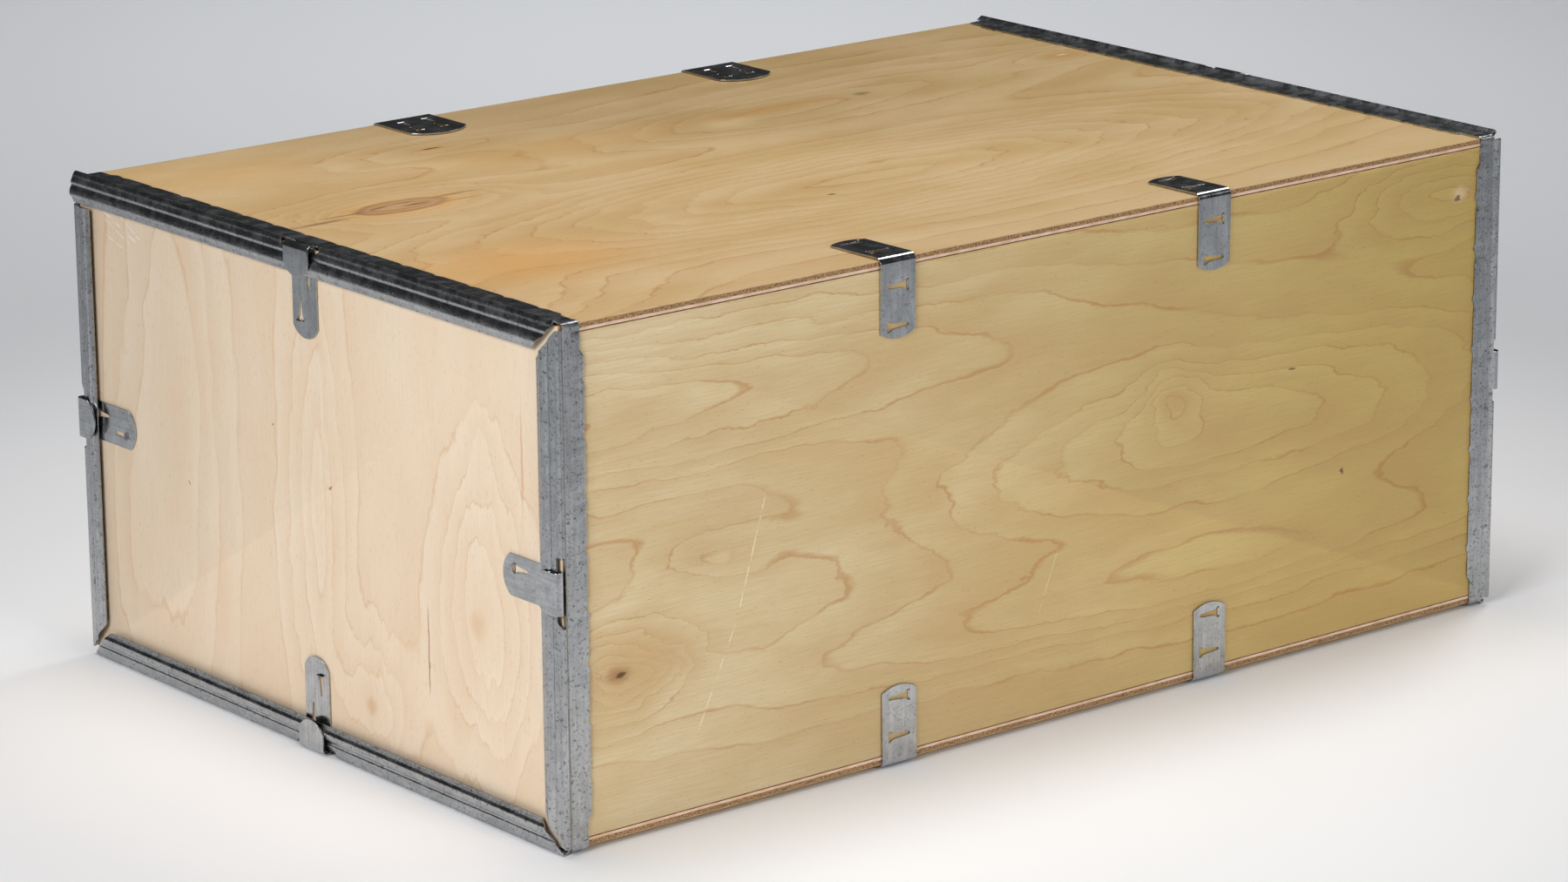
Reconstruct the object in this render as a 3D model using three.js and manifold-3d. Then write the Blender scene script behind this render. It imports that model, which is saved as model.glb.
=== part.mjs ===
// A folding plywood shipping crate. Four plywood panels wrap around as a belt (lid, front, bottom,
// back), steel rims go round both ends of the belt, and a plywood panel closes each end. Bent straps
// join the belt's long edges, two wide plates close the lid, and four tongues lock each end panel.
// Millimetres, +Z up, length along X, depth along Y, standing on z = 0.

import * as THREE from 'three';
import { mergeVertices } from 'three/addons/utils/BufferGeometryUtils.js';
import Module from 'manifold-3d';

// Overall size: the length over the folded tongues, the rest over the rims' corner beads.
const LENGTH = 600;
const DEPTH = 400;
const HEIGHT = 250;

const PLY = 4;
const STEEL = 0.8;
const GAP = 0.3; // air left between pieces that touch
const BEAD_RISE = 2.8; // the corner bead's top above the plywood

// The tongue lies on the end panel, folds over the skirt and lies on the skirt again.
const SKIRT_OUT = 4.6; // the skirt's outer face, from the end panel's outer face
const FLAP_OUT = SKIRT_OUT + GAP + STEEL;
const END_FACE_X = LENGTH / 2 - FLAP_OUT;
const BELT_END_X = END_FACE_X - PLY - GAP;
const BELT_Y = DEPTH / 2 - BEAD_RISE; // outer plywood faces
const BELT_Z = HEIGHT / 2 - BEAD_RISE; // the same, from the middle height

// Rim section along its sheet's middle: w from the end panel's outer face, u from the plywood's.
const RIM_PATH = [
  [-12.8, 0.7], [-1.2, 0.7], [0, 1.6], [0.8, 2.4], [2.4, 2.4], [3.7, 1.2], [4.2, -0.5],
  [4.2, -2.8], [3.3, -3.7], [3.3, -5], [4.2, -5.9], [4.2, -8.8], [2.9, -9.9], [2.6, -12.5],
];
const SKIRT_DEPTH = 13;
const MITRE_GAP = 0.2;
const V_NOTCH = Math.tan(THREE.MathUtils.degToRad(50)); // skirts are cut back past the 45 degree mitre
const WINDOW = { length: 33, from: 0.7, under: -1 }; // the slot in the bead that the tongue folds through
const NOTCH_LENGTH = 20.6; // the fold's seat in the slot

const TONGUE_WIDTH = 20;
const LEG_TIP = -44; // u of the leg's rounded tip
const LEG_TIP_RISE = 5.5;
const FOLD_U = -0.1; // u of the fold's middle
const FOLD_W = (GAP + FLAP_OUT) / 2;
const FOLD_RADIUS = FLAP_OUT - STEEL / 2 - FOLD_W;
const FLAP_TIP = -13.5;
const FLAP_TIP_RISE = 6;

const STRAP_WIDTH = 21;
const STRAP_REACH = 38; // from the outer plywood face's edge to the rounded tip
const STRAP_TIP_RISE = 3;
const STRAP_X = 100; // straps and plates stand at plus and minus this
const PLATE_WIDTH = 34;
const PLATE_REACH = 41;
const PLATE_TIP_RISE = 8;
const BEND_RADIUS = 1.2;
const SKIN_U = GAP + STEEL / 2; // a strap's middle above the plywood

const ARC_STEPS = 8;

const COLOURS = {
  lid: { color: 0xcdaa73, roughness: 0.55, metalness: 0 },
  wall: { color: 0xd2b98a, roughness: 0.6, metalness: 0 },
  end: { color: 0xe6d6bc, roughness: 0.6, metalness: 0 },
  rim: { color: 0x9a9c9e, roughness: 0.45, metalness: 0.9 },
  strap: { color: 0xa6a8aa, roughness: 0.4, metalness: 0.9 },
};

// Where an outline's own x and y and the extrusion's depth point.
const ACROSS_X = new THREE.Matrix4().set(0, 0, 1, 0, 1, 0, 0, 0, 0, 1, 0, 0, 0, 0, 0, 1);
const ACROSS_Y = new THREE.Matrix4().set(1, 0, 0, 0, 0, 0, -1, 0, 0, 1, 0, 0, 0, 0, 0, 1);
const ACROSS_Z = new THREE.Matrix4();

const wasm = await Module();
wasm.setup();

function manifoldOf(geometry) {
  const bare = geometry.clone();
  bare.deleteAttribute('normal');
  bare.deleteAttribute('uv');
  const merged = mergeVertices(bare);
  return new wasm.Manifold(new wasm.Mesh({
    numProp: 3,
    vertProperties: Float32Array.from(merged.attributes.position.array),
    triVerts: Uint32Array.from(merged.index.array),
  }));
}

function geometryOf(manifold) {
  const mesh = manifold.getMesh();
  const geometry = new THREE.BufferGeometry();
  geometry.setAttribute('position', new THREE.BufferAttribute(mesh.vertProperties, 3));
  geometry.setIndex(new THREE.BufferAttribute(mesh.triVerts, 1));
  geometry.computeVertexNormals();
  return geometry;
}

// An outline extruded both ways from its plane, from `start` to `start + depth` along `axes`' depth.
function prism(outline, start, depth, axes) {
  const shape = new THREE.Shape(outline.map(([x, y]) => new THREE.Vector2(x, y)));
  const geometry = new THREE.ExtrudeGeometry(shape, { depth, bevelEnabled: false });
  geometry.translate(0, 0, start);
  geometry.applyMatrix4(axes);
  return manifoldOf(geometry);
}

function box(low, high) {
  const size = high.map((value, i) => value - low[i]);
  const geometry = new THREE.BoxGeometry(...size);
  geometry.translate(...low.map((value, i) => value + size[i] / 2));
  return manifoldOf(geometry);
}

// The outline of a sheet whose middle follows `path`.
function sheetOutline(path, thickness) {
  const points = path.map(([x, y]) => new THREE.Vector2(x, y));
  const last = points.length - 1;
  const sides = points.map((point, i) => {
    const before = point.clone().sub(points[Math.max(i - 1, 0)]).normalize();
    const after = points[Math.min(i + 1, last)].clone().sub(point).normalize();
    const along = before.clone().add(after).normalize();
    const reach = thickness / 2 / along.dot(i > 0 ? before : after);
    return new THREE.Vector2(-along.y, along.x).multiplyScalar(reach);
  });
  const left = points.map((point, i) => point.clone().add(sides[i]).toArray());
  const right = points.map((point, i) => point.clone().sub(sides[i]).toArray());
  return [...left, ...right.reverse()];
}

// A strip along the outline's y from `root` to a rounded tip at `tip`, centred on x = 0.
function roundedStrip(width, root, tip, rise) {
  const half = width / 2;
  const towards = Math.sign(tip - root);
  const radius = (half * half + rise * rise) / (2 * rise);
  const spread = Math.asin(half / radius);
  const outline = [[-half, root], [half, root]];
  for (let i = 0; i <= ARC_STEPS; i++) {
    const angle = spread * (1 - (2 * i) / ARC_STEPS);
    outline.push([radius * Math.sin(angle), tip - towards * radius * (1 - Math.cos(angle))]);
  }
  return outline;
}

// The hole a punched tooth leaves: a flared root at `root`, narrowing towards `tip`.
function toothHole([rootX, rootY], [tipX, tipY]) {
  const root = new THREE.Vector2(rootX, rootY);
  const along = new THREE.Vector2(tipX, tipY).sub(root);
  const side = new THREE.Vector2(-along.y, along.x).normalize();
  const half = [[0, 2.7], [0.08, 2.9], [0.2, 1.6], [0.45, 1.2], [0.93, 0.8], [1, 0.35]];
  const place = (sign) => ([share, width]) =>
    root.clone().addScaledVector(along, share).addScaledVector(side, sign * width).toArray();
  return [...half.map(place(1)), ...half.map(place(-1)).reverse()];
}

function roundedCorner([cx, cy], radius, fromAngle, toAngle, steps = 4) {
  return Array.from({ length: steps + 1 }, (_, i) => {
    const angle = fromAngle + ((toAngle - fromAngle) * i) / steps;
    return [cx + radius * Math.cos(angle), cy + radius * Math.sin(angle)];
  });
}

// A rim rail of an end's side: X is w, Y runs along the rail, Z is u.
function rimRail(span) {
  const half = span / 2;
  const rail = prism(sheetOutline(RIM_PATH, STEEL), -half, span, ACROSS_Y);
  const mitreEnd = half - MITRE_GAP;
  const beltEnd = mitreEnd - BEAD_RISE;
  const skirtEnd = beltEnd - SKIRT_DEPTH * V_NOTCH;
  const mitred = prism([
    [-skirtEnd, -SKIRT_DEPTH], [skirtEnd, -SKIRT_DEPTH], [beltEnd, 0], [mitreEnd, BEAD_RISE],
    [-mitreEnd, BEAD_RISE], [-beltEnd, 0],
  ], -2 * SKIRT_DEPTH, 4 * SKIRT_DEPTH, ACROSS_X);
  const slot = (length, from, under) =>
    box([from, -length / 2, under], [FLAP_OUT, length / 2, 2 * BEAD_RISE]);
  const window = slot(WINDOW.length, WINDOW.from, WINDOW.under);
  const notch = slot(NOTCH_LENGTH, GAP, WINDOW.under);
  return rail.intersect(mitred).subtract(window).subtract(notch);
}

// The tongue strap's leg: flat on the end panel, with two teeth holes.
function tongueLeg() {
  const root = FOLD_U - GAP;
  const leg = prism(roundedStrip(TONGUE_WIDTH, root, LEG_TIP, LEG_TIP_RISE), GAP, STEEL, ACROSS_X);
  const nearHole = toothHole([3.5, -10], [3.5, -20.5]);
  const farHole = toothHole([-3.5, -36], [-3.5, -25]);
  return [nearHole, farHole].reduce(
    (strap, hole) => strap.subtract(prism(hole, 0, 2 * STEEL, ACROSS_X)), leg);
}

// The tongue: folded over the bead and flat on the skirt.
function tongueFlap() {
  const fold = roundedCorner([FOLD_W, FOLD_U], FOLD_RADIUS, Math.PI, 0, ARC_STEPS);
  const path = [...fold, [FOLD_W + FOLD_RADIUS, FLAP_TIP]];
  const folded = prism(sheetOutline(path, STEEL), -TONGUE_WIDTH / 2, TONGUE_WIDTH, ACROSS_Y);
  const outline = roundedStrip(TONGUE_WIDTH, 2 * BEAD_RISE, FLAP_TIP, FLAP_TIP_RISE);
  return folded.intersect(prism(outline, 0, 2 * FLAP_OUT, ACROSS_X));
}

// Edge straps are made for the edge between the lid and the front: the origin is on the corner of
// the two outer plywood faces, Y goes in over the lid, Z down the front is negative.
function strapLeafOnTop() {
  const leaf = prism(roundedStrip(STRAP_WIDTH, -SKIN_U, STRAP_REACH, STRAP_TIP_RISE), GAP, STEEL, ACROSS_Z);
  const nearHole = toothHole([-6.5, 13], [6.5, 13]);
  const farHole = toothHole([6.5, 32], [-6.5, 32]);
  return [nearHole, farHole].reduce(
    (strap, hole) => strap.subtract(prism(hole, 0, 2 * STEEL, ACROSS_Z)), leaf);
}

function strapLeafOnFront() {
  const outline = roundedStrip(STRAP_WIDTH, 0, -STRAP_REACH, STRAP_TIP_RISE);
  const leaf = prism(outline, GAP, STEEL, ACROSS_Y);
  const nearHole = toothHole([6.5, -13], [-6.5, -13]);
  const farHole = toothHole([-6.5, -32], [6.5, -32]);
  return [nearHole, farHole].reduce(
    (strap, hole) => strap.subtract(prism(hole, 0, 2 * STEEL, ACROSS_Y)), leaf);
}

// A closing plate, made for the same edge: one bent piece with four teeth holes on each leg.
function closingPlate() {
  const turn = BEND_RADIUS - SKIN_U;
  const bend = roundedCorner([turn, -turn], BEND_RADIUS, Math.PI / 2, Math.PI);
  const path = [[PLATE_REACH, SKIN_U], ...bend, [-SKIN_U, -PLATE_REACH]];
  const bent = prism(sheetOutline(path, STEEL), -PLATE_WIDTH / 2, PLATE_WIDTH, ACROSS_X);
  const tips = prism(roundedStrip(PLATE_WIDTH, -SKIRT_DEPTH, PLATE_REACH, PLATE_TIP_RISE),
    -2 * STEEL, 4 * STEEL, ACROSS_Z)
    .add(prism(roundedStrip(PLATE_WIDTH, -STEEL, -PLATE_REACH, PLATE_TIP_RISE),
      -2 * STEEL, 4 * STEEL, ACROSS_Y));
  const holes = [-7.5, 7.5].flatMap((x) => [
    prism(toothHole([x + 1.5, 6], [x + 1.5, 16]), 0, 2 * STEEL, ACROSS_Z),
    prism(toothHole([x - 1.5, 30], [x - 1.5, 20]), 0, 2 * STEEL, ACROSS_Z),
    prism(toothHole([x + 1.5, -6], [x + 1.5, -16]), 0, 2 * STEEL, ACROSS_Y),
    prism(toothHole([x - 1.5, -30], [x - 1.5, -20]), 0, 2 * STEEL, ACROSS_Y),
  ]);
  return holes.reduce((plate, hole) => plate.subtract(hole), bent.intersect(tips));
}

function node(name, manifold, finish) {
  const mesh = new THREE.Mesh(geometryOf(manifold), new THREE.MeshStandardMaterial(COLOURS[finish]));
  mesh.name = name;
  return mesh;
}

function panels() {
  const lidUnder = HEIGHT - BEAD_RISE - PLY;
  const floorTop = BEAD_RISE + PLY;
  const belt = (yLow, zLow, yHigh, zHigh) => box([-BELT_END_X, yLow, zLow], [BELT_END_X, yHigh, zHigh]);
  const end = (xLow, xHigh) => box([xLow, -BELT_Y, BEAD_RISE], [xHigh, BELT_Y, HEIGHT - BEAD_RISE]);
  const wall = (yLow, yHigh) => belt(yLow, floorTop + GAP, yHigh, lidUnder - GAP);
  return [
    node('lid_panel', belt(-BELT_Y, lidUnder, BELT_Y, lidUnder + PLY), 'lid'),
    node('bottom_panel', belt(-BELT_Y, BEAD_RISE, BELT_Y, floorTop), 'lid'),
    node('front_panel', wall(-BELT_Y, PLY - BELT_Y), 'wall'),
    node('back_panel', wall(BELT_Y - PLY, BELT_Y), 'wall'),
    node('left_end_panel', end(-END_FACE_X, PLY - END_FACE_X), 'end'),
    node('right_end_panel', end(END_FACE_X - PLY, END_FACE_X), 'end'),
  ];
}

// One side of an end: the rim rail and its tongue strap, turned about the crate's middle line.
function endSide(name, reach, span, turn) {
  const side = new THREE.Group();
  side.position.z = HEIGHT / 2;
  side.rotation.x = turn;
  const pieces = [
    node(`${name}_rim`, rimRail(span), 'rim'),
    node(`${name}_tongue_leg`, tongueLeg(), 'strap'),
    node(`${name}_tongue`, tongueFlap(), 'strap'),
  ];
  for (const piece of pieces) {
    piece.position.set(END_FACE_X, 0, reach);
    side.add(piece);
  }
  return side;
}

// The left end is the right one turned half round, so its front and back change places.
function crateEnd(name, turn) {
  const end = new THREE.Group();
  end.rotation.z = turn;
  const [front, back] = turn === 0 ? ['front', 'back'] : ['back', 'front'];
  end.add(endSide(`${name}_top`, BELT_Z, DEPTH, 0));
  end.add(endSide(`${name}_${front}`, BELT_Y, HEIGHT, Math.PI / 2));
  end.add(endSide(`${name}_bottom`, BELT_Z, DEPTH, Math.PI));
  end.add(endSide(`${name}_${back}`, BELT_Y, HEIGHT, -Math.PI / 2));
  return end;
}

// The pieces at one long edge, on both sides of the middle; `make` gives them for an edge at x = 0.
function alongEdge(y, z, turn, make) {
  const edge = new THREE.Group();
  edge.position.set(0, y, z);
  edge.rotation.x = turn;
  for (const [side, x] of [['left', -STRAP_X], ['right', STRAP_X]]) {
    for (const piece of make(side)) {
      piece.position.x = x;
      edge.add(piece);
    }
  }
  return edge;
}

const strapLeaves = (edge, topLeaf, frontLeaf) => (side) => [
  node(`${edge}_${side}_strap_${topLeaf}_leaf`, strapLeafOnTop(), 'strap'),
  node(`${edge}_${side}_strap_${frontLeaf}_leaf`, strapLeafOnFront(), 'strap'),
];

const crate = new THREE.Group();
crate.add(...panels());
crate.add(crateEnd('right', 0), crateEnd('left', Math.PI));
crate.add(alongEdge(-BELT_Y, HEIGHT - BEAD_RISE, 0, strapLeaves('top_front', 'lid', 'wall')));
crate.add(alongEdge(-BELT_Y, BEAD_RISE, Math.PI / 2, strapLeaves('bottom_front', 'wall', 'floor')));
crate.add(alongEdge(BELT_Y, BEAD_RISE, Math.PI, strapLeaves('bottom_back', 'floor', 'wall')));
crate.add(alongEdge(BELT_Y, HEIGHT - BEAD_RISE, -Math.PI / 2,
  (side) => [node(`${side}_closing_plate`, closingPlate(), 'strap')]));

export default crate;
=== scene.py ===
"""The looks of a folding plywood shipping crate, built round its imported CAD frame.

The steel rims, straps and plates are modelled again as bent and punched sheet, the six panels as
plywood with its layers showing at the edges, and every surface gets a procedural material.
Lengths are written in millimetres and turned into metres where vertices are made.
"""
import math

import bmesh
import bpy
import numpy as np
from mathutils import Matrix, Vector


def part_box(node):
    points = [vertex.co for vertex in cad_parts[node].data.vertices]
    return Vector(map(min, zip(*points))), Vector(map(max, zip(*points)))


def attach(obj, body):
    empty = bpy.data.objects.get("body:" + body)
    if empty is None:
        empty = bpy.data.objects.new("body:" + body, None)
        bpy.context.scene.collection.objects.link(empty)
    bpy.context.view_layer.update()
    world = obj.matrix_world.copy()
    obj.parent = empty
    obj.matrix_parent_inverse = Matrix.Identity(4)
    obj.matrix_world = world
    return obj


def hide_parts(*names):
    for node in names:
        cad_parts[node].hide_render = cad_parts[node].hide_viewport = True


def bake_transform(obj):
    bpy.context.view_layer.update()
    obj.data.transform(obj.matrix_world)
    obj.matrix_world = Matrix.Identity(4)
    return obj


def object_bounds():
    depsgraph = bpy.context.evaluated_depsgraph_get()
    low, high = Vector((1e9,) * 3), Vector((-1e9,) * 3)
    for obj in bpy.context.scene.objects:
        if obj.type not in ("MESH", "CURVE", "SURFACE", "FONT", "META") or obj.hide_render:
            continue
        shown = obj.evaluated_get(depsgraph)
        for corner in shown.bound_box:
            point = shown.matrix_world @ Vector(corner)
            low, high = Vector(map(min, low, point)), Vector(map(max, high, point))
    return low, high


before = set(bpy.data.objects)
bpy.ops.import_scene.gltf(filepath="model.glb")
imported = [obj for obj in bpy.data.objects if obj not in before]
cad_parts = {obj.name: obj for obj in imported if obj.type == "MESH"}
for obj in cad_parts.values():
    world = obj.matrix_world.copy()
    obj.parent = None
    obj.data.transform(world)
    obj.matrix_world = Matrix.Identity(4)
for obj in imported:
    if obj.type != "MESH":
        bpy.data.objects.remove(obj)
cad_low, cad_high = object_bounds()

MM = 0.001
X, Y, Z = 0, 1, 2
AXES = (Vector((1, 0, 0)), Vector((0, 1, 0)), Vector((0, 0, 1)))


def box_mm(node):
    low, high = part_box(node)
    return low / MM, high / MM


# Where the frame's parts are, in millimetres.
LID_LOW, LID_HIGH = box_mm("lid_panel")
FLOOR_LOW = box_mm("bottom_panel")[0]
END_X = box_mm("right_end_panel")[1].x
RIM_TOP = box_mm("right_top_rim")[1].z
BELT_Y = LID_HIGH.y
MIDDLE_Z = (LID_HIGH.z + FLOOR_LOW.z) / 2
BELT_Z = LID_HIGH.z - MIDDLE_Z
PLY = LID_HIGH.z - LID_LOW.z
BEAD_RISE = RIM_TOP - LID_HIGH.z

STEEL = 0.8
GAP = 0.3
SKIN = GAP + STEEL / 2  # a strap's middle above the plywood

# The rim's section along its sheet's middle: w out from the end panel's face, u out from the belt's.
FLANGE_EDGE = -12.8
RIM_SECTION = [
    (FLANGE_EDGE, 0.55), (-12.2, 0.7), (-4.5, 0.7), (-1.4, 0.75), (0.1, 1.7), (0.9, 2.4), (1.6, 2.4),
    (2.3, 1.3), (2.5, -0.4), (3.2, -2.9), (2.7, -3.8), (3.0, -5), (3.7, -5.9), (4.3, -8.7),
    (3.4, -9.9), (2.8, -12.5),
]
TOOTH_PITCH = 26.4
STATION_PITCH = TOOTH_PITCH / 20  # between the rims' cross sections
CORNER_FLANGE_EDGE = FLANGE_EDGE + 2  # the flange is narrower near the crate's corners
FLANGE_BEND = 1.7  # middle radius of the flange at the crate's corners
STRAP_BEND = 2.6
STRAP_ARCH = 0.4  # how far a strap springs off the wood at its bend


# ---------------------------------------------------------------- meshes

def link_mesh(name, mesh):
    piece = bpy.data.objects.new(name, mesh)
    bpy.context.scene.collection.objects.link(piece)
    return piece


def mesh_of(name, vertices, faces):
    """A piece from vertices in millimetres."""
    mesh = bpy.data.meshes.new(name)
    mesh.from_pydata([tuple(c * MM for c in v) for v in vertices], [], faces)
    mesh.validate()
    return link_mesh(name, mesh)


def settle(piece, sharp_degrees=35):
    """Outward normals, and smooth shading apart from real corners."""
    shell = bmesh.new()
    shell.from_mesh(piece.data)
    bmesh.ops.recalc_face_normals(shell, faces=shell.faces)
    shell.to_mesh(piece.data)
    shell.free()
    piece.data.shade_smooth()
    piece.data.set_sharp_from_angle(angle=math.radians(sharp_degrees))
    return piece


def smooth_step(low, high, value):
    """0 at low, 1 at high, smooth between."""
    share = min(max((value - low) / (high - low), 0), 1)
    return share * share * (3 - 2 * share)


MOST_OF_A_SIDE = 0.45  # the share of a straight side that a rounded corner may take


def rounded_path(points, radius, steps):
    """The polyline with each corner turned into a short curve."""
    points = [np.array(p, float) for p in points]
    path = [points[0]]
    for before, corner, after in zip(points, points[1:], points[2:]):
        to_before, to_after = before - corner, after - corner
        room = MOST_OF_A_SIDE * min(np.linalg.norm(to_before), np.linalg.norm(to_after))
        trim = min(radius, room)
        start = corner + to_before / np.linalg.norm(to_before) * trim
        end = corner + to_after / np.linalg.norm(to_after) * trim
        for i in range(steps + 1):
            t = i / steps
            path.append((1 - t) ** 2 * start + 2 * t * (1 - t) * corner + t * t * end)
    path.append(points[-1])
    return path


def sheet_loop(path, thickness):
    """The closed outline of a sheet round its middle, and for each outline point its path point."""
    path = np.array(path)
    steps = np.gradient(path, axis=0)
    tangents = steps / np.linalg.norm(steps, axis=1)[:, None]
    normals = np.stack([-tangents[:, 1], tangents[:, 0]], 1) * thickness / 2
    outline = np.concatenate([path + normals, (path - normals)[::-1]])
    return outline, np.concatenate([path, path[::-1]])


def sweep(name, outline, middle, stations, place):
    """A closed outline carried through the stations; place(point, middle point, s) gives the vertex."""
    count = len(outline)
    vertices = [place(p, m, s) for s in stations for p, m in zip(outline, middle)]
    faces = []
    for j in range(len(stations) - 1):
        for i in range(count):
            k = (i + 1) % count
            faces.append((j * count + i, j * count + k, (j + 1) * count + k, (j + 1) * count + i))
    last = (len(stations) - 1) * count
    for i in range(count // 2 - 1):
        strip = (i, i + 1, count - 2 - i, count - 1 - i)
        faces.append(strip)
        faces.append(tuple(last + v for v in strip))
    return mesh_of(name, vertices, faces)


def evaluated_mesh(piece):
    graph = bpy.context.evaluated_depsgraph_get()
    return bpy.data.meshes.new_from_object(piece.evaluated_get(graph))


def cut(piece, cutters):
    """Takes the cutters out of the piece."""
    for cutter in cutters:
        settle(cutter)
        modifier = piece.modifiers.new("cut", "BOOLEAN")
        modifier.operation = "DIFFERENCE"
        modifier.solver = "EXACT"
        modifier.object = cutter
    mesh = evaluated_mesh(piece)
    piece.modifiers.clear()
    piece.data = mesh
    for cutter in cutters:
        bpy.data.objects.remove(cutter)
    return piece


def prism(name, outline, low, high, place):
    """An outline carried straight from low to high; place(x, y, depth) gives the vertex."""
    count = len(outline)
    vertices = [place(x, y, depth) for depth in (low, high) for x, y in outline]
    faces = [tuple(range(count)), tuple(range(count, 2 * count))]
    faces += [(i, (i + 1) % count, count + (i + 1) % count, count + i) for i in range(count)]
    return mesh_of(name, vertices, faces)


# ---------------------------------------------------------------- flat blanks for the straps

def tip_arc(half, tip, rise, towards):
    """A strip's rounded end, from +half to -half."""
    radius = (half * half + rise * rise) / (2 * rise)
    spread = math.asin(half / radius)
    angles = [spread * (1 - i / 8) for i in range(17)]
    return [(radius * math.sin(a), tip - towards * radius * (1 - math.cos(a))) for a in angles]


# Half of a tooth's hole: the share of its length from the root, and its half width there.
TOOTH_HALF = (
    (0, 2.6), (0.05, 2.85), (0.12, 2.4), (0.2, 1.6), (0.35, 1.25), (0.6, 1.05), (0.93, 0.8), (1, 0.35),
)
EDGE_BREAK = 0.1  # the worn edges of the cut steel
ROOT_RADIUS, ROOT_HALF, ROOT_DROP, ROOT_SHEET = 0.75, 1.9, 1.2, 0.25


def tooth_hole(root, tip):
    """The trumpet-shaped hole that a punched tooth leaves."""
    root, tip = Vector(root), Vector(tip)
    along = tip - root
    side = Vector((-along.y, along.x)).normalized()
    one = [root + along * share + side * width for share, width in TOOTH_HALF]
    other = [root + along * share - side * width for share, width in TOOTH_HALF]
    return [tuple(p) for p in one + other[::-1]]


def strip_blank(name, width, length, rises, holes, bends):
    """A flat strip from y = 0 to y = length with round ends and holes, cut across at the bends."""
    half = width / 2
    outline = tip_arc(half, 0, rises[0], -1)[::-1] + tip_arc(half, length, rises[1], 1)
    curve = bpy.data.curves.new(name, "CURVE")
    curve.dimensions = "2D"
    curve.fill_mode = "BOTH"
    curve.extrude = (STEEL / 2 - EDGE_BREAK) * MM
    curve.bevel_depth = EDGE_BREAK * MM
    curve.bevel_resolution = 1
    curve.offset = -EDGE_BREAK * MM
    for loop in [outline, *(tooth_hole(*hole) for hole in holes)]:
        spline = curve.splines.new("POLY")
        spline.points.add(len(loop) - 1)
        for point, (x, y) in zip(spline.points, loop):
            point.co = (x * MM, y * MM, 0, 1)
        spline.use_cyclic_u = True
    pattern = link_mesh(name, curve)
    mesh = evaluated_mesh(pattern)
    bpy.data.objects.remove(pattern)
    piece = link_mesh(name, mesh)
    shell = bmesh.new()
    shell.from_mesh(mesh)
    bmesh.ops.remove_doubles(shell, verts=shell.verts, dist=0.01 * MM)
    for y in bends:
        parts = [*shell.verts, *shell.edges, *shell.faces]
        bmesh.ops.bisect_plane(shell, geom=parts, plane_co=(0, y * MM, 0), plane_no=(0, 1, 0))
    for hole in holes:
        add_curled_root(shell, *hole)
    bmesh.ops.triangulate(shell, faces=[f for f in shell.faces if len(f.verts) > 4])
    shell.to_mesh(mesh)
    shell.free()
    return piece


def add_curled_root(shell, root, tip):
    """The bent root of the punched tooth, turning down into the wood at the hole's wide end."""
    root, tip = Vector(root), Vector(tip)
    along = (tip - root).normalized()
    side = Vector((-along.y, along.x))
    sunk = 0.05  # keeps the root's start inside the strap
    top = STEEL / 2 - sunk
    profile = [(ROOT_RADIUS * math.sin(a), top - ROOT_RADIUS * (1 - math.cos(a)))
               for a in (math.radians(d) for d in (0, 22, 45, 68, 90))]
    profile.append((ROOT_RADIUS, top - ROOT_RADIUS - ROOT_DROP))

    def row(reach, height):
        middle = root + along * (reach - sunk)
        return [shell.verts.new(Vector((*(middle + side * offset), height)) * MM)
                for offset in (-ROOT_HALF, ROOT_HALF)]

    rows = [row(reach, height) for reach, height in profile]
    inner = [row(reach * 0.35, height - ROOT_SHEET) for reach, height in profile]
    for upper, next_upper, lower, next_lower in zip(rows, rows[1:], inner, inner[1:]):
        shell.faces.new((upper[0], next_upper[0], next_upper[1], upper[1]))
        shell.faces.new((lower[0], lower[1], next_lower[1], next_lower[0]))
        shell.faces.new((upper[0], lower[0], next_lower[0], next_upper[0]))
        shell.faces.new((upper[1], next_upper[1], next_lower[1], lower[1]))
    shell.faces.new((rows[0][0], rows[0][1], inner[0][1], inner[0][0]))
    shell.faces.new((rows[-1][0], inner[-1][0], inner[-1][1], rows[-1][1]))


def bend_blank(piece, place):
    """Moves each vertex of a flat blank: place(x, y, z) in millimetres gives its new place."""
    for vertex in piece.data.vertices:
        vertex.co = Vector(place(*(vertex.co / MM))) * MM
    return settle(piece, 20)


# ---------------------------------------------------------------- places on the crate

class Side:
    """One side of one end: w points out of the end, u out of the belt, s along the rim."""

    OUTWARD = {"top": AXES[Z], "bottom": -AXES[Z], "front": -AXES[Y], "back": AXES[Y]}

    def __init__(self, end, side):
        self.name = f"{end}_{side}"
        self.out = AXES[X] if end == "right" else -AXES[X]
        self.normal = self.OUTWARD[side]
        self.along = self.normal.cross(self.out)
        level = side in ("top", "bottom")
        self.half = cad_high.y / MM if level else MIDDLE_Z
        reach = BELT_Z if level else BELT_Y
        self.origin = Vector((0, 0, MIDDLE_Z)) + self.out * END_X + self.normal * reach

    def at(self, w, s, u):
        return self.origin + self.out * w + self.along * s + self.normal * u

    def corner(self, s):
        """The kind of corner at the rail's end that s is nearest to."""
        way = self.along * s
        if self.normal == AXES[Z] and way.y > 0:
            return "lapping"
        if self.normal == AXES[Y] and way.z > 0:
            return "lapped"
        return "mitred"


class Edge:
    """A long edge of the belt: p runs in over the first panel and q out of it, from the plywood's corner."""

    def __init__(self, y, z, inward, outward):
        self.corner = Vector((0, y, z))
        self.inward, self.outward = inward, outward

    def at(self, x, p, q):
        return self.corner + AXES[X] * x + self.inward * p + self.outward * q


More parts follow.
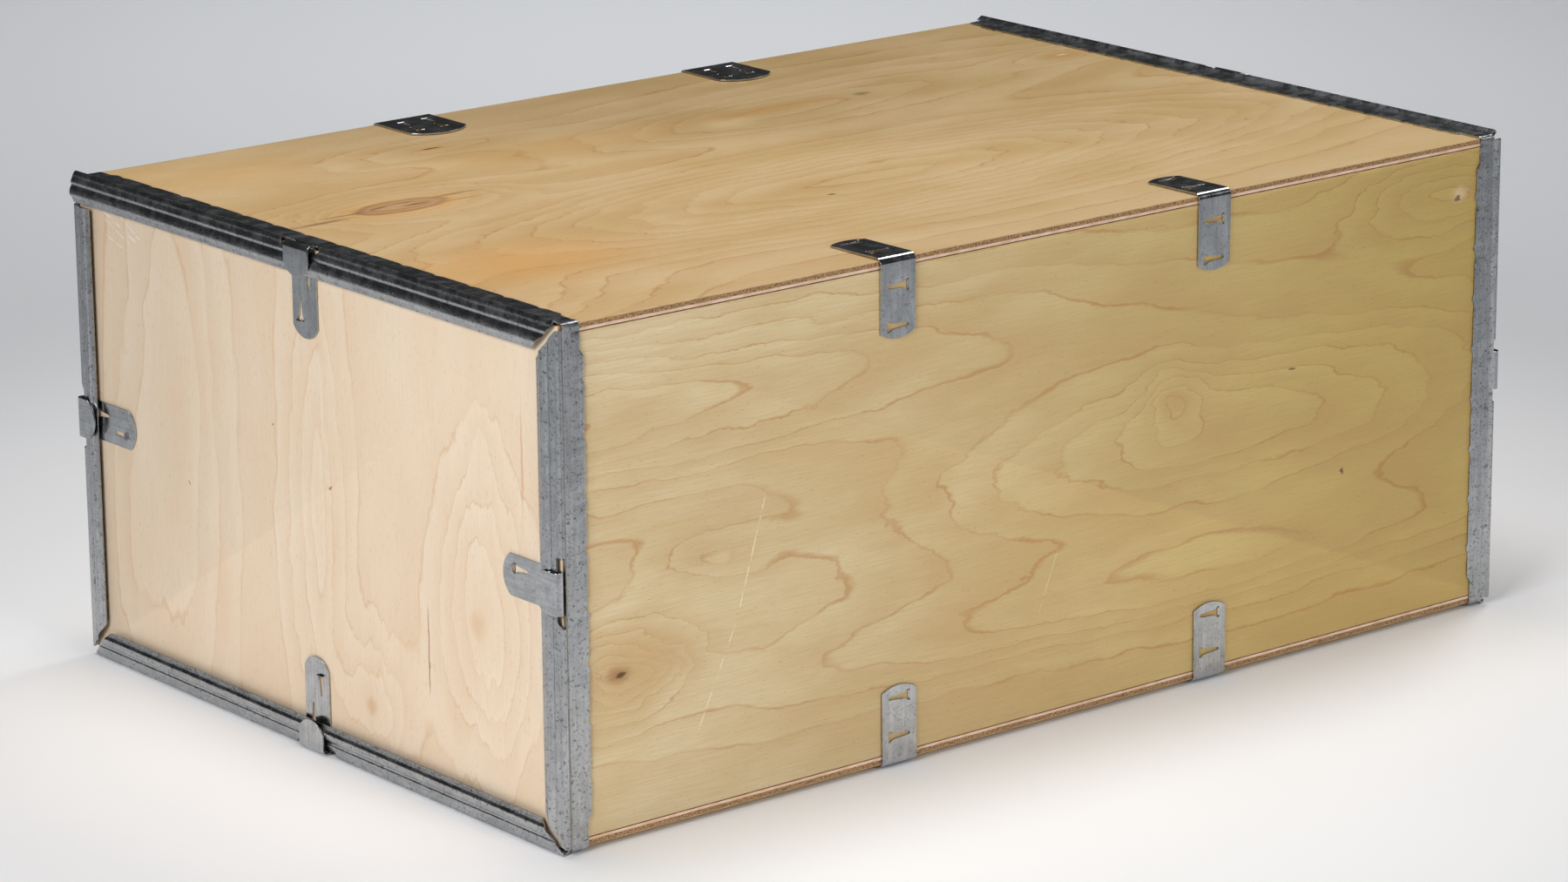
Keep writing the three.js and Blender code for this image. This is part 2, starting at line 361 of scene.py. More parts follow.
EDGES = {
    "top_front": Edge(-BELT_Y, LID_HIGH.z, AXES[Y], AXES[Z]),
    "bottom_front": Edge(-BELT_Y, FLOOR_LOW.z, AXES[Z], -AXES[Y]),
    "bottom_back": Edge(BELT_Y, FLOOR_LOW.z, -AXES[Y], -AXES[Z]),
    "top_back": Edge(BELT_Y, LID_HIGH.z, -AXES[Z], AXES[Y]),
}
# For each bending edge: the bodies before and after its joint, the second one being where p runs.
EDGE_BODIES = {
    "top_front": ("front_wall", "lid"),
    "bottom_front": ("base", "front_wall"),
    "bottom_back": ("back_wall", "base"),
}
SIDE_BODY = {"top": "lid", "front": "front_wall", "bottom": "base", "back": "back_wall"}


def round_the_corner(edge, x, y, offset, radius):
    """A point of a blank bent over an edge: y is its distance from the bend's middle, towards p."""
    centre = radius - SKIN
    arc = radius * math.pi / 4
    if y > arc:
        return edge.at(x, centre + y - arc, SKIN + offset)
    if y < -arc:
        return edge.at(x, -SKIN - offset, -centre + y + arc)
    angle = math.pi * 3 / 4 - y / radius
    reach = radius + offset
    return edge.at(x, centre + reach * math.cos(angle), -centre + reach * math.sin(angle))


def blend_over(piece, edge_name):
    """Works out the bodies and the ends of the bend at that edge's joint, though nothing uses them, and
    bakes the piece's place into its mesh.
    """
    edge = EDGES[edge_name]
    before, after = EDGE_BODIES[edge_name]
    start, end = edge.at(0, -1, -1) * MM, edge.at(0, 1, 1) * MM
    if edge_name == "bottom_back":
        before, after, start, end = after, before, end, start
    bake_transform(piece)


# ---------------------------------------------------------------- rims

FLANGE_W = -2  # the flange is where w is less
FLANGE_LIP_W = -11  # its free edge is where w is less
FLANGE_STOP = BEAD_RISE + 3.4  # the flange's bend at a corner starts this far from the rail's end
BEAD_STOP = BEAD_RISE + 2.0
MITRE_SLOPE = math.tan(math.radians(49))
LAP_STOP, LAPPED_STOP = 0.6, 17


def rim_end(half, w, u, corner):
    """How far along the rim its section goes at w, u. At most corners the flange stops at its bend
    and the skirt at a wide mitre; at the closing edge the lid's skirt laps over the back wall's."""
    if w < FLANGE_W:
        return half - FLANGE_STOP
    if corner == "lapping":
        return half - LAP_STOP - 0.35 * max(abs(u + 5) - 3, 0)
    if corner == "lapped":
        return half - (LAPPED_STOP if w > 1 else BEAD_STOP)
    if u > 0:
        return half - BEAD_STOP + min(u, 0.8) - 0.2
    return half - BEAD_STOP + u * MITRE_SLOPE


def tooth_shift(s, w):
    """The flange's edge beside the crimped teeth: a small bump out, and a recess next to it."""
    if w > FLANGE_LIP_W:
        return 0.0, 0.0
    share = ((s / TOOTH_PITCH) % 1 - 0.5) * TOOTH_PITCH
    bump = math.exp(-(share / 1.3) ** 2)
    recess = math.exp(-((share + 4.2) / 2.4) ** 2)
    return -1.0 * bump + 0.45 * recess, -0.35 * bump - 0.25 * recess


# The slot that the tongue folds through, as s and u: one end square, the other pointed.
SLOT_OUTLINE = [(-16.5, -0.5), (-16.0, -1.0), (12.0, -1.0), (14.0, -0.5), (16.5, 1.6), (16.5, 4), (-16.5, 4)]
SLOT_FROM, SLOT_TO = 0.7, 7.0  # in w


NOTCH_OUTLINE = [(-10.3, 0.6), (-10.0, 0.3), (10.0, 0.3), (10.3, 0.6), (10.3, 7), (-10.3, 7)]  # s, w
NOTCH_FROM, NOTCH_TO = -0.95, 6.0  # in u
RAIL_END = 24  # the length at each end of a rail that is drawn out or in to its corner
NARROW_FROM, NARROW_TO = 18, 15  # where the flange narrows, from the rail's end


def rim_rail(end, side):
    """A rail of bent sheet, with the tongue's slot and notch cut into its bead."""
    place = Side(end, side)
    half = place.half
    solid_half = half - RAIL_END

    def put(point, middle, s):
        w, u = point
        reach = rim_end(half, *middle, place.corner(s))
        if abs(s) > solid_half:
            share = (abs(s) - solid_half) / (half - solid_half)
            s = math.copysign(solid_half + share * (reach - solid_half), s)
        dw, du = tooth_shift(s, w)
        if w < FLANGE_LIP_W:
            narrow = smooth_step(half - NARROW_FROM, half - NARROW_TO, abs(s))
            dw = dw * (1 - narrow) + (CORNER_FLANGE_EDGE - FLANGE_EDGE) * narrow
        return place.at(w + dw, s, u + du)

    outline, middle = sheet_loop(rounded_path(RIM_SECTION, 0.9, 3), STEEL)
    count = int(2 * half / STATION_PITCH)
    stations = [half * (2 * i / count - 1) for i in range(count + 1)]
    rail = sweep(f"{place.name}_rail", outline, middle, stations, put)
    settle(rail)
    window = prism("window", SLOT_OUTLINE, SLOT_FROM, SLOT_TO, lambda s, u, w: place.at(w, s, u))
    notch = prism("notch", NOTCH_OUTLINE, NOTCH_FROM, NOTCH_TO, lambda s, w, u: place.at(w, s, u))
    settle(cut(rail, [window, notch]))
    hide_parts(f"{end}_{side}_rim")
    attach(rail, SIDE_BODY[side])
    return rail


def flange_corner(end, edge_name):
    """The flange where it bends from one side of the crate to the next."""
    edge = EDGES[edge_name]
    sign = 1 if end == "right" else -1
    reach = FLANGE_STOP - BEAD_RISE - FLANGE_BEND + SKIN + FLANGE_BEND * math.pi / 4
    profile = [(CORNER_FLANGE_EDGE, -0.1), (CORNER_FLANGE_EDGE + 0.4, 0), (-2.2, 0), (-1.5, -0.1)]
    outline, middle = sheet_loop(rounded_path(profile, 0.4, 2), STEEL)
    steps = 24
    stations = [reach * (2 * i / steps - 1) for i in range(steps + 1)]

    def put(point, _, y):
        w, offset = point
        return round_the_corner(edge, sign * (END_X + w), y, offset, FLANGE_BEND)

    corner = settle(sweep(f"{end}_{edge_name}_flange_bend", outline, middle, stations, put))
    blend_over(corner, edge_name)
    return corner


# ---------------------------------------------------------------- straps

STRAP_WIDTH, STRAP_REACH, STRAP_TIP = 21, 38, 3
PLATE_WIDTH, PLATE_REACH, PLATE_TIP = 34, 41, 8
PLATE_BEND = 1.3
STRAP_X = 100
TONGUE_WIDTH = 20
LEG_RISE, FLAP_RISE = 5.5, 6
LEG_TIP, FLAP_TIP = -44, -13.5
FOLD_W, FOLD_U, FOLD_RADIUS = 3.0, -0.1, 2.3


def edge_blank(name, width, reach, tip, holes, radius):
    """A blank for a strap over an edge; holes are given as distances from the plywood's corner."""
    straight = reach - (radius - SKIN)
    arc = radius * math.pi / 4
    middle = straight + arc

    def along(distance):
        return middle + math.copysign(arc + abs(distance) - (radius - SKIN), distance)

    flat = [((x1, along(y1)), (x2, along(y2))) for (x1, y1), (x2, y2) in holes]
    bends = [middle + arc * (i / 6 - 1) for i in range(13)]
    return strip_blank(name, width, 2 * middle, (tip, tip), flat, bends), middle


def edge_strap(edge_name, side):
    """A narrow strap bent over an edge that folds; it springs a little off the wood at its bend."""
    edge = EDGES[edge_name]
    x = STRAP_X if side == "right" else -STRAP_X
    holes = [((-6.5, 13), (6.5, 13)), ((6.5, 32), (-6.5, 32)),
             ((6.5, -13), (-6.5, -13)), ((-6.5, -32), (6.5, -32))]
    name = f"{edge_name}_{side}_strap"
    strap, middle = edge_blank(name, STRAP_WIDTH, STRAP_REACH, STRAP_TIP, holes, STRAP_BEND)

    def put(bx, by, bz):
        y = by - middle
        arch = STRAP_ARCH * smooth_step(9, 3, abs(y))
        return round_the_corner(edge, x + bx, y, bz + arch, STRAP_BEND)

    bend_blank(strap, put)
    leaves = [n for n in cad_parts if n.startswith(name) and n.endswith("_leaf")]
    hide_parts(*sorted(leaves))
    blend_over(strap, edge_name)
    return strap


def closing_plate(side):
    """A wide plate bent over the edge that the lid closes on."""
    edge = EDGES["top_back"]
    x = STRAP_X if side == "right" else -STRAP_X
    holes = []
    for column in (-7.5, 7.5):
        for sign in (1, -1):
            holes.append(((column + 1.5, 7 * sign), (column + 1.5, 16 * sign)))
            holes.append(((column - 1.5, 30 * sign), (column - 1.5, 20 * sign)))
    name = f"{side}_closing_plate_sheet"
    plate, middle = edge_blank(name, PLATE_WIDTH, PLATE_REACH, PLATE_TIP, holes, PLATE_BEND)
    bend_blank(plate, lambda bx, by, bz: round_the_corner(edge, x + bx, by - middle, bz, PLATE_BEND))
    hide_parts(f"{side}_closing_plate")
    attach(plate, "lid")
    return plate


def tongue_strap(end, side):
    """A leg on the end panel, folded back over the rim into the tongue that locks it."""
    place = Side(end, side)
    leg = FOLD_U - LEG_TIP
    fold = math.pi * FOLD_RADIUS
    length = leg + fold + FOLD_U - FLAP_TIP
    holes = [((3.5, -10 - LEG_TIP), (3.5, -20.5 - LEG_TIP)),
             ((-3.5, -36 - LEG_TIP), (-3.5, -25 - LEG_TIP))]
    steps = 16
    bends = [leg + fold * i / steps for i in range(steps + 1)]
    name = f"{end}_{side}_tongue_strap"
    strap = strip_blank(name, TONGUE_WIDTH, length, (LEG_RISE, FLAP_RISE), holes, bends)

    def put(x, y, z):
        if y < leg:
            return place.at(FOLD_W - FOLD_RADIUS + z, x, LEG_TIP + y)
        if y > leg + fold:
            return place.at(FOLD_W + FOLD_RADIUS - z, x, FOLD_U - (y - leg - fold))
        angle = (y - leg) / FOLD_RADIUS
        reach = FOLD_RADIUS - z
        return place.at(FOLD_W - reach * math.cos(angle), x, FOLD_U + reach * math.sin(angle))

    bend_blank(strap, lambda x, y, z: put(x, y, -z))
    tongue = f"{end}_{side}_tongue"
    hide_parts(f"{tongue}_leg", tongue)
    start = place.at(FOLD_W - FOLD_RADIUS + STEEL / 2, 0, FOLD_U) * MM
    end_point = place.at(FOLD_W + FOLD_RADIUS - STEEL / 2, 0, FOLD_U) * MM
    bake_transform(strap)
    return strap


# ---------------------------------------------------------------- panels

# A plywood edge from one face to the other: how far it is cut back, and how deep it is.
EDGE_PROFILE = ((0.25, 0.0), (0.06, 0.1), (0.0, 0.25), (0.0, 0.4), (0.15, 0.5), (0.17, 2.55),
                (0.02, 2.65), (0.0, PLY - 0.3), (0.08, PLY - 0.12), (0.3, PLY))
CORE = (4, 5)  # the profile points on the rough core
CORE_ROUGHNESS = (-0.1, 0.12)
EDGE_PITCH = 2.5  # between the points along an edge


def plywood_panel(node, through, flipped, body, face_material, edge_material):
    """A slab with rounded veneer edges and a rough, slightly sunken core."""
    low, high = box_mm(node)
    size = high - low
    across = [axis for axis in (X, Y, Z) if axis != through]
    random = np.random.default_rng(sum(map(ord, node)))
    corners = [(0, 0), (1, 0), (1, 1), (0, 1)]
    ring = []
    for (i, j), (k, m) in zip(corners, corners[1:] + corners[:1]):
        length = abs(k - i) * size[across[0]] + abs(m - j) * size[across[1]]
        steps = int(length / EDGE_PITCH)
        ring += [(i + (k - i) * n / steps, j + (m - j) * n / steps) for n in range(steps)]
    vertices = []
    for index, (inset, depth) in enumerate(EDGE_PROFILE):
        rough = random.uniform(*CORE_ROUGHNESS, len(ring)) if index in CORE else np.zeros(len(ring))
        for (i, j), extra in zip(ring, rough):
            point = Vector((0, 0, 0))
            for axis, share in zip(across, (i, j)):
                margin = inset + extra
                wanted = low[axis] + share * size[axis]
                point[axis] = min(max(wanted, low[axis] + margin), high[axis] - margin)
            point[through] = low[through] + depth if flipped else high[through] - depth
            vertices.append(tuple(point))
    count, layers = len(ring), len(EDGE_PROFILE)
    faces = [tuple(range(count)), tuple(range((layers - 1) * count, layers * count))]
    for layer in range(layers - 1):
        first, second = layer * count, (layer + 1) * count
        for i in range(count):
            k = (i + 1) % count
            faces.append((first + i, first + k, second + k, second + i))
    panel = mesh_of(node + "_ply", vertices, faces)
    settle(panel, 50)
    panel.data.materials.append(face_material)
    panel.data.materials.append(edge_material)
    for polygon in panel.data.polygons:
        polygon.material_index = 0 if abs(polygon.normal[through]) > 0.9 else 1
    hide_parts(node)
    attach(panel, body)
    return panel


# ---------------------------------------------------------------- material nodes

def srgb(red, green, blue):
    """A colour given as it looks, 0 to 255, in the linear values that shaders use."""
    def linear(c):
        c /= 255
        return c / 12.92 if c <= 0.04045 else ((c + 0.055) / 1.055) ** 2.4
    return (linear(red), linear(green), linear(blue), 1.0)


BROWN = srgb(96, 66, 44)


class Wire:
    """A node's output; arithmetic on it adds nodes to its tree."""

    def __init__(self, tree, socket):
        self.tree, self.socket = tree, socket

    def math(self, operation, *others, clamp=False):
        node = self.tree.nodes.new("ShaderNodeMath")
        node.operation = operation
        node.use_clamp = clamp
        for socket, value in zip(node.inputs, (self, *others)):
            feed(self.tree, socket, value)
        return Wire(self.tree, node.outputs[0])

    def vector(self, operation, *others):
        node = self.tree.nodes.new("ShaderNodeVectorMath")
        node.operation = operation
        for socket, value in zip(node.inputs, (self, *others)):
            feed(self.tree, socket, value)
        return Wire(self.tree, node.outputs["Value" if operation in ("DOT_PRODUCT", "LENGTH") else "Vector"])

    def __add__(self, other):
        return self.math("ADD", other)

    def __sub__(self, other):
        return self.math("SUBTRACT", other)

    def __mul__(self, other):
        return self.math("MULTIPLY", other)

    def map(self, low, high, to_low=0.0, to_high=1.0):
        """Carries low..high over to to_low..to_high, smoothly and clamped."""
        node = self.tree.nodes.new("ShaderNodeMapRange")
        node.interpolation_type = "SMOOTHSTEP"
        for socket, value in zip(node.inputs, (self, low, high, to_low, to_high)):
            feed(self.tree, socket, value)
        return Wire(self.tree, node.outputs[0])

    def mix(self, first, second):
        """first where this is 0, second where it is 1; colours."""
        node = self.tree.nodes.new("ShaderNodeMix")
        node.data_type = "RGBA"
        feed(self.tree, node.inputs[0], self)
        feed(self.tree, node.inputs[6], first)
        feed(self.tree, node.inputs[7], second)
        return Wire(self.tree, node.outputs[2])


def feed(tree, socket, value):
    if isinstance(value, Wire):
        tree.links.new(value.socket, socket)
    else:
        socket.default_value = value


class Surface:
    """A new material whose Principled shader the caller feeds."""

    def __init__(self, name):
        self.material = bpy.data.materials.new(name)
        self.material.use_nodes = True
        self.tree = self.material.node_tree
        self.shader = self.tree.nodes["Principled BSDF"]
        coordinates = self.tree.nodes.new("ShaderNodeTexCoord")
        place = Wire(self.tree, coordinates.outputs["Object"])
        self.place = place.vector("MULTIPLY", (1 / MM,) * 3)

    def set(self, **values):
        for name, value in values.items():
            feed(self.tree, self.shader.inputs[name.replace("_", " ")], value)

    def parts(self, wire):
        node = self.tree.nodes.new("ShaderNodeSeparateXYZ")
        feed(self.tree, node.inputs[0], wire)
        return [Wire(self.tree, output) for output in node.outputs]

    def noise(self, lengths, seed, place=None, detail=2.0, roughness=0.5, output="Fac"):
        """Noise whose features are about `lengths` millimetres along X, Y and Z."""
        spread = (place or self.place).vector("MULTIPLY_ADD", tuple(1 / l for l in lengths), (seed,) * 3)
        node = self.tree.nodes.new("ShaderNodeTexNoise")
        node.inputs["Scale"].default_value = 1.0
        node.inputs["Detail"].default_value = detail
        node.inputs["Roughness"].default_value = roughness
        feed(self.tree, node.inputs["Vector"], spread)
        return Wire(self.tree, node.outputs[output])

    def bump(self, height, depth, strength=1.0):
        """Height 0 to 1 standing for `depth` millimetres."""
        node = self.tree.nodes.new("ShaderNodeBump")
        node.inputs["Strength"].default_value = strength
        node.inputs["Distance"].default_value = depth * MM
        feed(self.tree, node.inputs["Height"], height)
        self.set(Normal=Wire(self.tree, node.outputs[0]))


def along_axes(along, across, through, a, b, c):
    """Three values put in the order X, Y, Z."""
    values = [0, 0, 0]
    values[along], values[across], values[through] = a, b, c
    return tuple(values)


def oval(place, along, across, through, centre, radii):
    """Distance from an oval's middle on a panel, 1 at its outline."""
    scale = along_axes(along, across, through, 1 / radii[0], 1 / radii[1], 0)
    shift = along_axes(along, across, through, -centre[0] / radii[0], -centre[1] / radii[1], 0)
    return place.vector("MULTIPLY_ADD", scale, shift)


# ---------------------------------------------------------------- wood

def veneer(name, axes, tones, hills, rings, phase, marks=(), scratches=(), line_strength=0.6, seed=0.0):
    """Rotary-cut veneer: the growth lines are the contours of a few smooth hills, as where a knife
    cuts a log's rings at a slant. A hill is (along, across, its radii, height). A mark is (along,
    across, its radii, colour, strength, softness)."""
    along, across, through = axes
    surface = Surface(name)

    def lengths(a, b):
        return along_axes(along, across, through, a, b, b)

    slow = surface.noise(lengths(75, 24), 3.1 + seed, detail=2, output="Color")
    quick = surface.noise(lengths(15, 6), 8.4 + seed, detail=3, roughness=0.6, output="Color")
    shift = slow.vector("MULTIPLY_ADD", along_axes(along, across, through, 42, 17, 0),
                        along_axes(along, across, through, -21, -8.5, 0))
    small = quick.vector("MULTIPLY_ADD", along_axes(along, across, through, 17, 4.6, 0),
                         along_axes(along, across, through, -8.5, -2.3, 0))
    warped = surface.place.vector("ADD", shift).vector("ADD", small)
    height = None
    for a, b, radius_a, radius_b, rise in hills:
        away = oval(warped, along, across, through, (a, b), (radius_a, radius_b))
        hill = away.vector("DOT_PRODUCT", away).math("MULTIPLY", -1).math("EXPONENT") * (rise * rings)
        height = hill if height is None else height + hill
    ring = (height + phase).math("FRACT")
    late = ring.map(0.0, 0.085, 1, 0).math("MAXIMUM", ring.map(0.965, 1.0))
    fading = surface.noise(lengths(60, 30), 21.7 + seed, detail=1).map(0.36, 0.6, 0.35, 1.0)
    late = late * fading * line_strength

    cloud = surface.noise(lengths(90, 35), 14.2 + seed, detail=3)
    fibre = surface.noise(lengths(26, 0.55), 5.7 + seed, detail=4, roughness=0.65)
    pore = surface.noise(lengths(3.4, 0.34), 31.9 + seed, detail=1).map(0.69, 0.75)
    position = surface.parts(surface.place)[along]
    reach = tones["reach"]
    colour = position.map(-reach, reach).mix(tones["first"], tones["second"])
    colour = cloud.map(0.35, 0.66, 0, tones.get("cloud_strength", 0.45)).mix(colour, tones["cloud"])
    colour = ring.map(0.1, 1.0, 0.0, 0.16).mix(colour, tones["line"])
    colour = late.mix(colour, tones["line"])
    colour = fibre.map(0.32, 0.68, 0.0, 0.34).mix(colour, tones["fibre"])
    colour = (pore * 0.5).mix(colour, tones["pore"])
    ragged = surface.noise(lengths(7, 2.2), 44.4 + seed, detail=3, output="Color")
    torn = surface.place.vector("ADD", ragged.vector(
        "MULTIPLY_ADD", along_axes(along, across, through, 8, 2.4, 0),
        along_axes(along, across, through, -4, -1.2, 0)))
    for a, b, radius_a, radius_b, shade, strength, softness in marks:
        away = oval(torn, along, across, through, (a, b), (radius_a, radius_b))
        inside = away.vector("LENGTH").map(1 - softness, 1, strength, 0)
        colour = inside.mix(colour, shade)
    for (a1, b1), (a2, b2), width, shade in scratches:
        colour = scratch(surface, axes, (a1, b1), (a2, b2), width).mix(colour, shade)
    surface.set(Base_Color=colour, Specular_IOR_Level=0.35, Roughness=cloud.map(0.3, 0.7, 0.46, 0.64))
    relief = fibre * 0.55 + late * 0.25 - pore * 0.8
    surface.bump(relief, 0.12, 0.55)
    return surface.material


def scratch(surface, axes, start, end, width):
    """1 on a broken straight scratch between two points of a panel, 0 off it."""
    along, across, through = axes
    start, end = Vector(start), Vector(end)
    middle, way = (start + end) / 2, (end - start)
    half, way = way.length / 2, way.normalized()
    from_middle = surface.place.vector("SUBTRACT", along_axes(along, across, through, *middle, 0))
    lengthwise = from_middle.vector("DOT_PRODUCT", along_axes(along, across, through, way.x, way.y, 0))
    sideways = from_middle.vector("DOT_PRODUCT", along_axes(along, across, through, -way.y, way.x, 0))
    inside = lengthwise.math("ABSOLUTE").map(half * 0.8, half, 1, 0)
    thin = sideways.math("ABSOLUTE").map(width * 0.4, width, 1, 0)
    broken = surface.noise((4, 4, 4), 51.0, detail=2).map(0.4, 0.56, 0.1, 0.75)
    return inside * thin * broken


def ply_edge(name, through, flipped):
    """A plywood edge: a thin face veneer, a dark rough core, and a pale veneer under it."""
    surface = Surface(name)
    coordinates = surface.tree.nodes.new("ShaderNodeTexCoord")
    depth = surface.parts(Wire(surface.tree, coordinates.outputs["Generated"]))[through]
    if not flipped:
        depth = (depth * -1.0) + 1.0
    depth = depth + (surface.noise((6, 6, 6), 2.0, detail=2) * 0.05 - 0.025)
    core = depth.map(0.09, 0.13) * depth.map(0.6, 0.65, 1, 0)
    speckle = surface.noise((0.9, 0.9, 0.9), 7.0, detail=3, roughness=0.7)
    streak = surface.noise((9, 9, 9), 12.0, detail=4)
    dark = speckle.map(0.35, 0.62).mix(srgb(104, 76, 50), srgb(190, 154, 112))
    pale = streak.map(0.35, 0.65).mix(srgb(238, 208, 186), srgb(222, 186, 156))
    face = streak.map(0.35, 0.65).mix(srgb(208, 172, 124), srgb(186, 148, 104))
    colour = depth.map(0.4, 0.45).mix(face, pale)
    colour = core.mix(colour, dark)
    colour = depth.map(0.95, 0.99).mix(colour, BROWN)
    surface.set(Base_Color=colour, Roughness=speckle.map(0.3, 0.7, 0.7, 0.9), Specular_IOR_Level=0.2)
    surface.bump(speckle, 0.25, 0.7)
    return surface.material


# ---------------------------------------------------------------- steel

def galvanised(name, along, pebble, shade, rough, scuff):
    """Galvanised sheet: a pebbled zinc skin, rolling lines along the strip, and dark scuffs."""
    surface = Surface(name)
    stretch = [1.3, 1.3, 1.3]
    stretch[along] = 30
    grit = surface.noise((1.5, 1.5, 1.5), 4.0, detail=4, roughness=0.62)
    flake = surface.noise((7, 7, 7), 9.0, detail=2)
    rolled = surface.noise(tuple(stretch), 16.0, detail=3, roughness=0.6)
    scuffs = surface.noise((5, 5, 5), 27.0, detail=5, roughness=0.7).map(0.62, 0.67, 0, scuff)

    def darker(share):
        return srgb(*(c * share for c in shade))

    colour = flake.map(0.3, 0.7).mix(darker(0.9), darker(1))
    colour = (rolled.map(0.35, 0.65) * 0.35).mix(colour, darker(0.72))
    colour = (grit.map(0.54, 0.68) * (0.25 + 0.5 * pebble)).mix(colour, darker(0.42))
    colour = scuffs.mix(colour, srgb(34, 34, 36))
    surface.set(Base_Color=colour, Metallic=1.0, Roughness=flake.map(0.3, 0.7, rough, rough + 0.14))
    surface.bump(grit * pebble + rolled * 0.25, 0.25, 0.6)
    return surface.material


# ---------------------------------------------------------------- materials

front_tones = {
    "first": srgb(222, 204, 166), "second": srgb(212, 184, 106), "reach": 290, "cloud": srgb(196, 164, 106),
    "line": srgb(184, 126, 70), "fibre": srgb(186, 156, 108), "pore": srgb(120, 84, 50),
}
end_tones = {
    "first": srgb(236, 214, 190), "second": srgb(238, 220, 196), "reach": 120, "cloud": srgb(228, 200, 168),
    "line": srgb(206, 158, 106), "fibre": srgb(222, 196, 164), "pore": srgb(190, 150, 112),
    "cloud_strength": 0.3,
}
lid_tones = {
    "first": srgb(202, 172, 124), "second": srgb(200, 173, 120), "reach": 290, "cloud": srgb(214, 190, 152),
    "line": srgb(166, 106, 48), "fibre": srgb(184, 140, 82), "pore": srgb(124, 84, 46),
}

FRONT_AXES, END_AXES, LID_AXES = (X, Z, Y), (Z, Y, X), (X, Y, Z)

front_hills = [
    (-420, 200, 430, 34, 1.0), (110, 128, 215, 44, 1.0), (77, 148, 22, 15, 0.35), (90, 60, 330, 26, 0.55),
    (-262, 80, 34, 20, 0.75), (-205, 125, 30, 12, 0.25), (265, 222, 60, 20, 0.6),
]
front_marks = [
    (-255, 84, 60, 26, srgb(190, 150, 92), 0.5, 1.0),
    (-265, 80, 11, 6.5, srgb(150, 104, 58), 0.7, 0.9),
    (-263, 80, 3.2, 1.6, srgb(70, 46, 30), 0.8, 0.6),
    (77, 147, 16, 10, srgb(196, 156, 96), 0.35, 0.8),
    (270, 221, 9, 6, srgb(236, 210, 168), 0.8, 0.9),
    (268, 219, 3, 2, srgb(110, 72, 44), 0.8, 0.6),
    (190, 91, 1.6, 2.2, BROWN, 0.8, 0.5),
    (155, 150, 3.4, 1.0, BROWN, 0.7, 0.6),
]
front_scratches = [
    ((-178, 150), (-196, 92), 0.5, srgb(240, 226, 196)), ((-196, 92), (-220, 42), 0.45, srgb(240, 226, 196)),
    ((5, 98), (-12, 56), 0.3, srgb(232, 214, 178)),
]
end_hills = [
    (125, -2, 120, 26, 0.75), (120, -5, 70, 7, 0.22), (98, -136, 62, 34, 1.0), (34, -46, 34, 30, 0.75),
    (177, -137, 20, 8, 0.25), (135, 120, 190, 44, 0.8), (60, 165, 80, 22, 0.35),
]
end_marks = [
    (94, -131, 9, 9, srgb(214, 172, 124), 0.4, 0.8), (33, -44, 6, 6, srgb(204, 158, 106), 0.5, 0.8),
    (72, -92, 26, 0.8, srgb(150, 100, 62), 0.8, 0.5), (110, 107, 1.0, 1.0, BROWN, 0.9, 0.4),
    (155, 32, 1.1, 0.9, BROWN, 0.7, 0.5), (133, -15, 0.9, 2.0, srgb(150, 108, 78), 0.8, 0.5),
    (165, -181, 46, 1.6, srgb(206, 150, 96), 0.6, 0.8), (178, -168, 40, 1.2, srgb(206, 150, 96), 0.5, 0.8),
]
end_scratches = [
    ((234, 178), (222, 146), 0.6, srgb(252, 246, 236)), ((230, 176), (220, 152), 0.5, srgb(252, 246, 236)),
    ((236, 166), (224, 143), 0.5, srgb(252, 246, 236)), ((222, 176), (217, 158), 0.5, srgb(252, 246, 236)),
]
lid_hills = [
    (0, -60, 270, 70, 1.4), (-212, 39, 60, 26, 0.8), (27, 85, 120, 34, 0.35), (150, 95, 200, 60, 0.45),
    (-127, 133, 60, 18, 0.3), (267, 97, 40, 20, 0.3), (-330, -150, 90, 60, 0.6),
]
lid_marks = [
    (-60, 96, 150, 30, srgb(206, 158, 92), 0.35, 1.0), (-235, -90, 90, 60, srgb(214, 152, 78), 0.5, 1.0),
    (-212, 38, 52, 26, srgb(214, 158, 78), 0.7, 1.0), (-262, 34, 26, 3.2, srgb(124, 80, 44), 0.7, 0.9),
    (-180, 44, 26, 2.6, srgb(140, 92, 52), 0.6, 0.9), (-212, 39, 29, 13, srgb(116, 78, 50), 0.7, 0.22),
    (-211, 39, 27, 11.5, srgb(190, 148, 104), 0.85, 0.3), (-213, 39, 20, 7.5, srgb(140, 98, 64), 0.6, 0.35),
    (-212, 39, 17, 5.8, srgb(200, 158, 112), 0.75, 0.4), (-204, 38, 12, 1.6, srgb(76, 50, 38), 0.8, 0.9),
    (-222, 42, 9, 1.3, srgb(84, 58, 42), 0.7, 0.9), (-208, 44, 10, 1.0, srgb(96, 66, 46), 0.6, 0.9),
    (-244, 40, 20, 1.4, srgb(104, 70, 44), 0.7, 0.9), (-178, 33, 22, 1.6, srgb(170, 110, 58), 0.6, 0.9),
    (-127, 132, 20, 5, srgb(196, 140, 76), 0.7, 1.0), (-127, 133, 10, 1.3, srgb(70, 44, 32), 0.85, 0.7),
    (22, 82, 26, 16, srgb(226, 198, 150), 0.7, 1.0), (60, 92, 60, 12, srgb(202, 150, 84), 0.55, 1.0),
    (120, 92, 8, 5, srgb(128, 112, 70), 0.75, 0.8), (267, 97, 24, 14, srgb(196, 144, 84), 0.6, 1.0),
    (266, 98, 6, 2, srgb(240, 214, 170), 0.8, 0.8), (-240, 148, 60, 40, srgb(206, 166, 110), 0.5, 1.0),
    (-40, -78, 1.4, 1.6, BROWN, 0.9, 0.5), (228, -86, 1.2, 3.0, BROWN, 0.5, 0.8),
    (208, 137, 6, 1.6, srgb(170, 116, 60), 0.6, 0.9),
]
